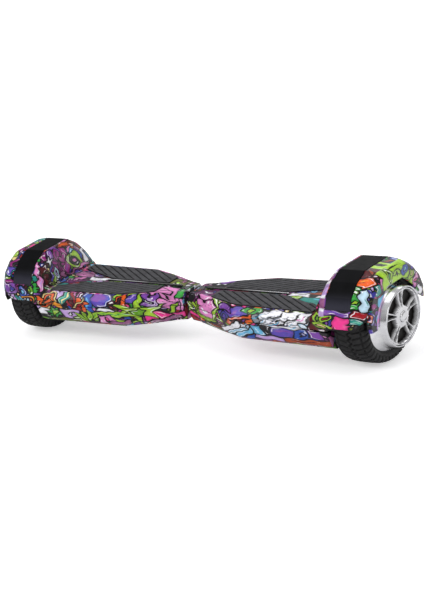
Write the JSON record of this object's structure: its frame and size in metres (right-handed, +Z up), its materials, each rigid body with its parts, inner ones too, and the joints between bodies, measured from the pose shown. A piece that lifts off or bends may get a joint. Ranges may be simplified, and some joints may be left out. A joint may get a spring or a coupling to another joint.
{
  "type": "self balancing hoverboard",
  "caption": "Two-wheeled self balancing board with tall faceted fenders, grooved foot mats, a twisting waist and a bright mural-style print.",
  "frame": {"origin": "on the floor under the middle of the board, between the wheels", "axes": "+X along the wheel axles towards the right half, -Y the front, +Z up"},
  "size_m": [0.634, 0.216, 0.212],
  "materials": {
    "printed_shell": "glossy print under clear lacquer",
    "satin_band": "satin",
    "mat_rubber": "moulded grooves, matte",
    "tyre_rubber": "matte, treaded",
    "rim_silver": "machined, bright",
    "cast_frame": "as cast",
    "steel": "turned",
    "winding": "enamelled wire",
    "bronze": "sintered bush",
    "lens": "clear",
    "circuit_board": "solder mask",
    "battery_wrap": "shrink wrap",
    "black_plastic": "moulded"
  },
  "bodies": {
    "left_half": {"top_shell_left": "printed_shell", "bottom_shell_left": "printed_shell", "fender_band_left": "satin_band", "seam_trim_left": "satin_band", "indicator_lens_left": "lens", "chassis_left": "cast_frame", "axle_clamp_left": "cast_frame", "clamp_screw_front_left": "steel", "clamp_screw_rear_left": "steel", "shell_screw_inner_left": "steel", "shell_screw_outer_left": "steel", "motor_axle_left": "steel", "stator_left": "winding", "inner_bearing_left": "steel", "outer_bearing_left": "steel", "gyro_board_left": "circuit_board", "centre_shaft": "steel", "main_control_board": "circuit_board", "charge_port": "black_plastic"},
    "right_half": {"top_shell_right": "printed_shell", "bottom_shell_right": "printed_shell", "fender_band_right": "satin_band", "seam_trim_right": "satin_band", "indicator_lens_right": "lens", "chassis_right": "cast_frame", "axle_clamp_right": "cast_frame", "clamp_screw_front_right": "steel", "clamp_screw_rear_right": "steel", "shell_screw_inner_right": "steel", "shell_screw_outer_right": "steel", "motor_axle_right": "steel", "stator_right": "winding", "inner_bearing_right": "steel", "outer_bearing_right": "steel", "gyro_board_right": "circuit_board", "pivot_bush_inner": "bronze", "pivot_bush_outer": "bronze", "battery_pack": "battery_wrap"},
    "left_wheel": {"hub_shell_left": "rim_silver", "hub_cover_left": "rim_silver", "hub_cap_left": "rim_silver", "magnet_ring_left": "steel", "motor_cover_left": "cast_frame", "tyre_left": "tyre_rubber"},
    "right_wheel": {"hub_shell_right": "rim_silver", "hub_cover_right": "rim_silver", "hub_cap_right": "rim_silver", "magnet_ring_right": "steel", "motor_cover_right": "cast_frame", "tyre_right": "tyre_rubber"},
    "left_front_mat": {"front_foot_mat_left": "mat_rubber"},
    "left_rear_mat": {"rear_foot_mat_left": "mat_rubber"},
    "right_front_mat": {"front_foot_mat_right": "mat_rubber"},
    "right_rear_mat": {"rear_foot_mat_right": "mat_rubber"},
    "button": {"power_button": "black_plastic"},
    "port_cap": {"charge_port_cap": "mat_rubber"}
  },
  "joints": [
    {"name": "centre_twist", "type": "hinge", "parent": "left_half", "child": "right_half", "pos_m": [0, 0, 0.088], "axis": [1, 0, 0], "range_deg": [-12, 12]},
    {"name": "left_wheel_spin", "type": "hinge", "parent": "left_half", "child": "left_wheel", "pos_m": [-0.275, 0, 0.1], "axis": [1, 0, 0], "continuous": true},
    {"name": "right_wheel_spin", "type": "hinge", "parent": "right_half", "child": "right_wheel", "pos_m": [0.275, 0, 0.1], "axis": [1, 0, 0], "continuous": true},
    {"name": "left_front_mat_press", "type": "slide", "parent": "left_half", "child": "left_front_mat", "axis": [0, 0, -1], "range_m": [0, 0.002], "stiffness_N_per_m": 4000},
    {"name": "left_rear_mat_press", "type": "slide", "parent": "left_half", "child": "left_rear_mat", "axis": [0, 0, -1], "range_m": [0, 0.002], "stiffness_N_per_m": 4000},
    {"name": "right_front_mat_press", "type": "slide", "parent": "right_half", "child": "right_front_mat", "axis": [0, 0, -1], "range_m": [0, 0.002], "stiffness_N_per_m": 4000},
    {"name": "right_rear_mat_press", "type": "slide", "parent": "right_half", "child": "right_rear_mat", "axis": [0, 0, -1], "range_m": [0, 0.002], "stiffness_N_per_m": 4000},
    {"name": "power_button_press", "type": "slide", "parent": "left_half", "child": "button", "axis": [0, -1, 0], "range_m": [0, 0.001], "stiffness_N_per_m": 800},
    {"name": "charge_cap_swing", "type": "hinge", "parent": "left_half", "child": "port_cap", "pos_m": [-0.15, 0.1012, 0.0976], "axis": [-1, 0, 0], "range_deg": [0, 100]}
  ]
}
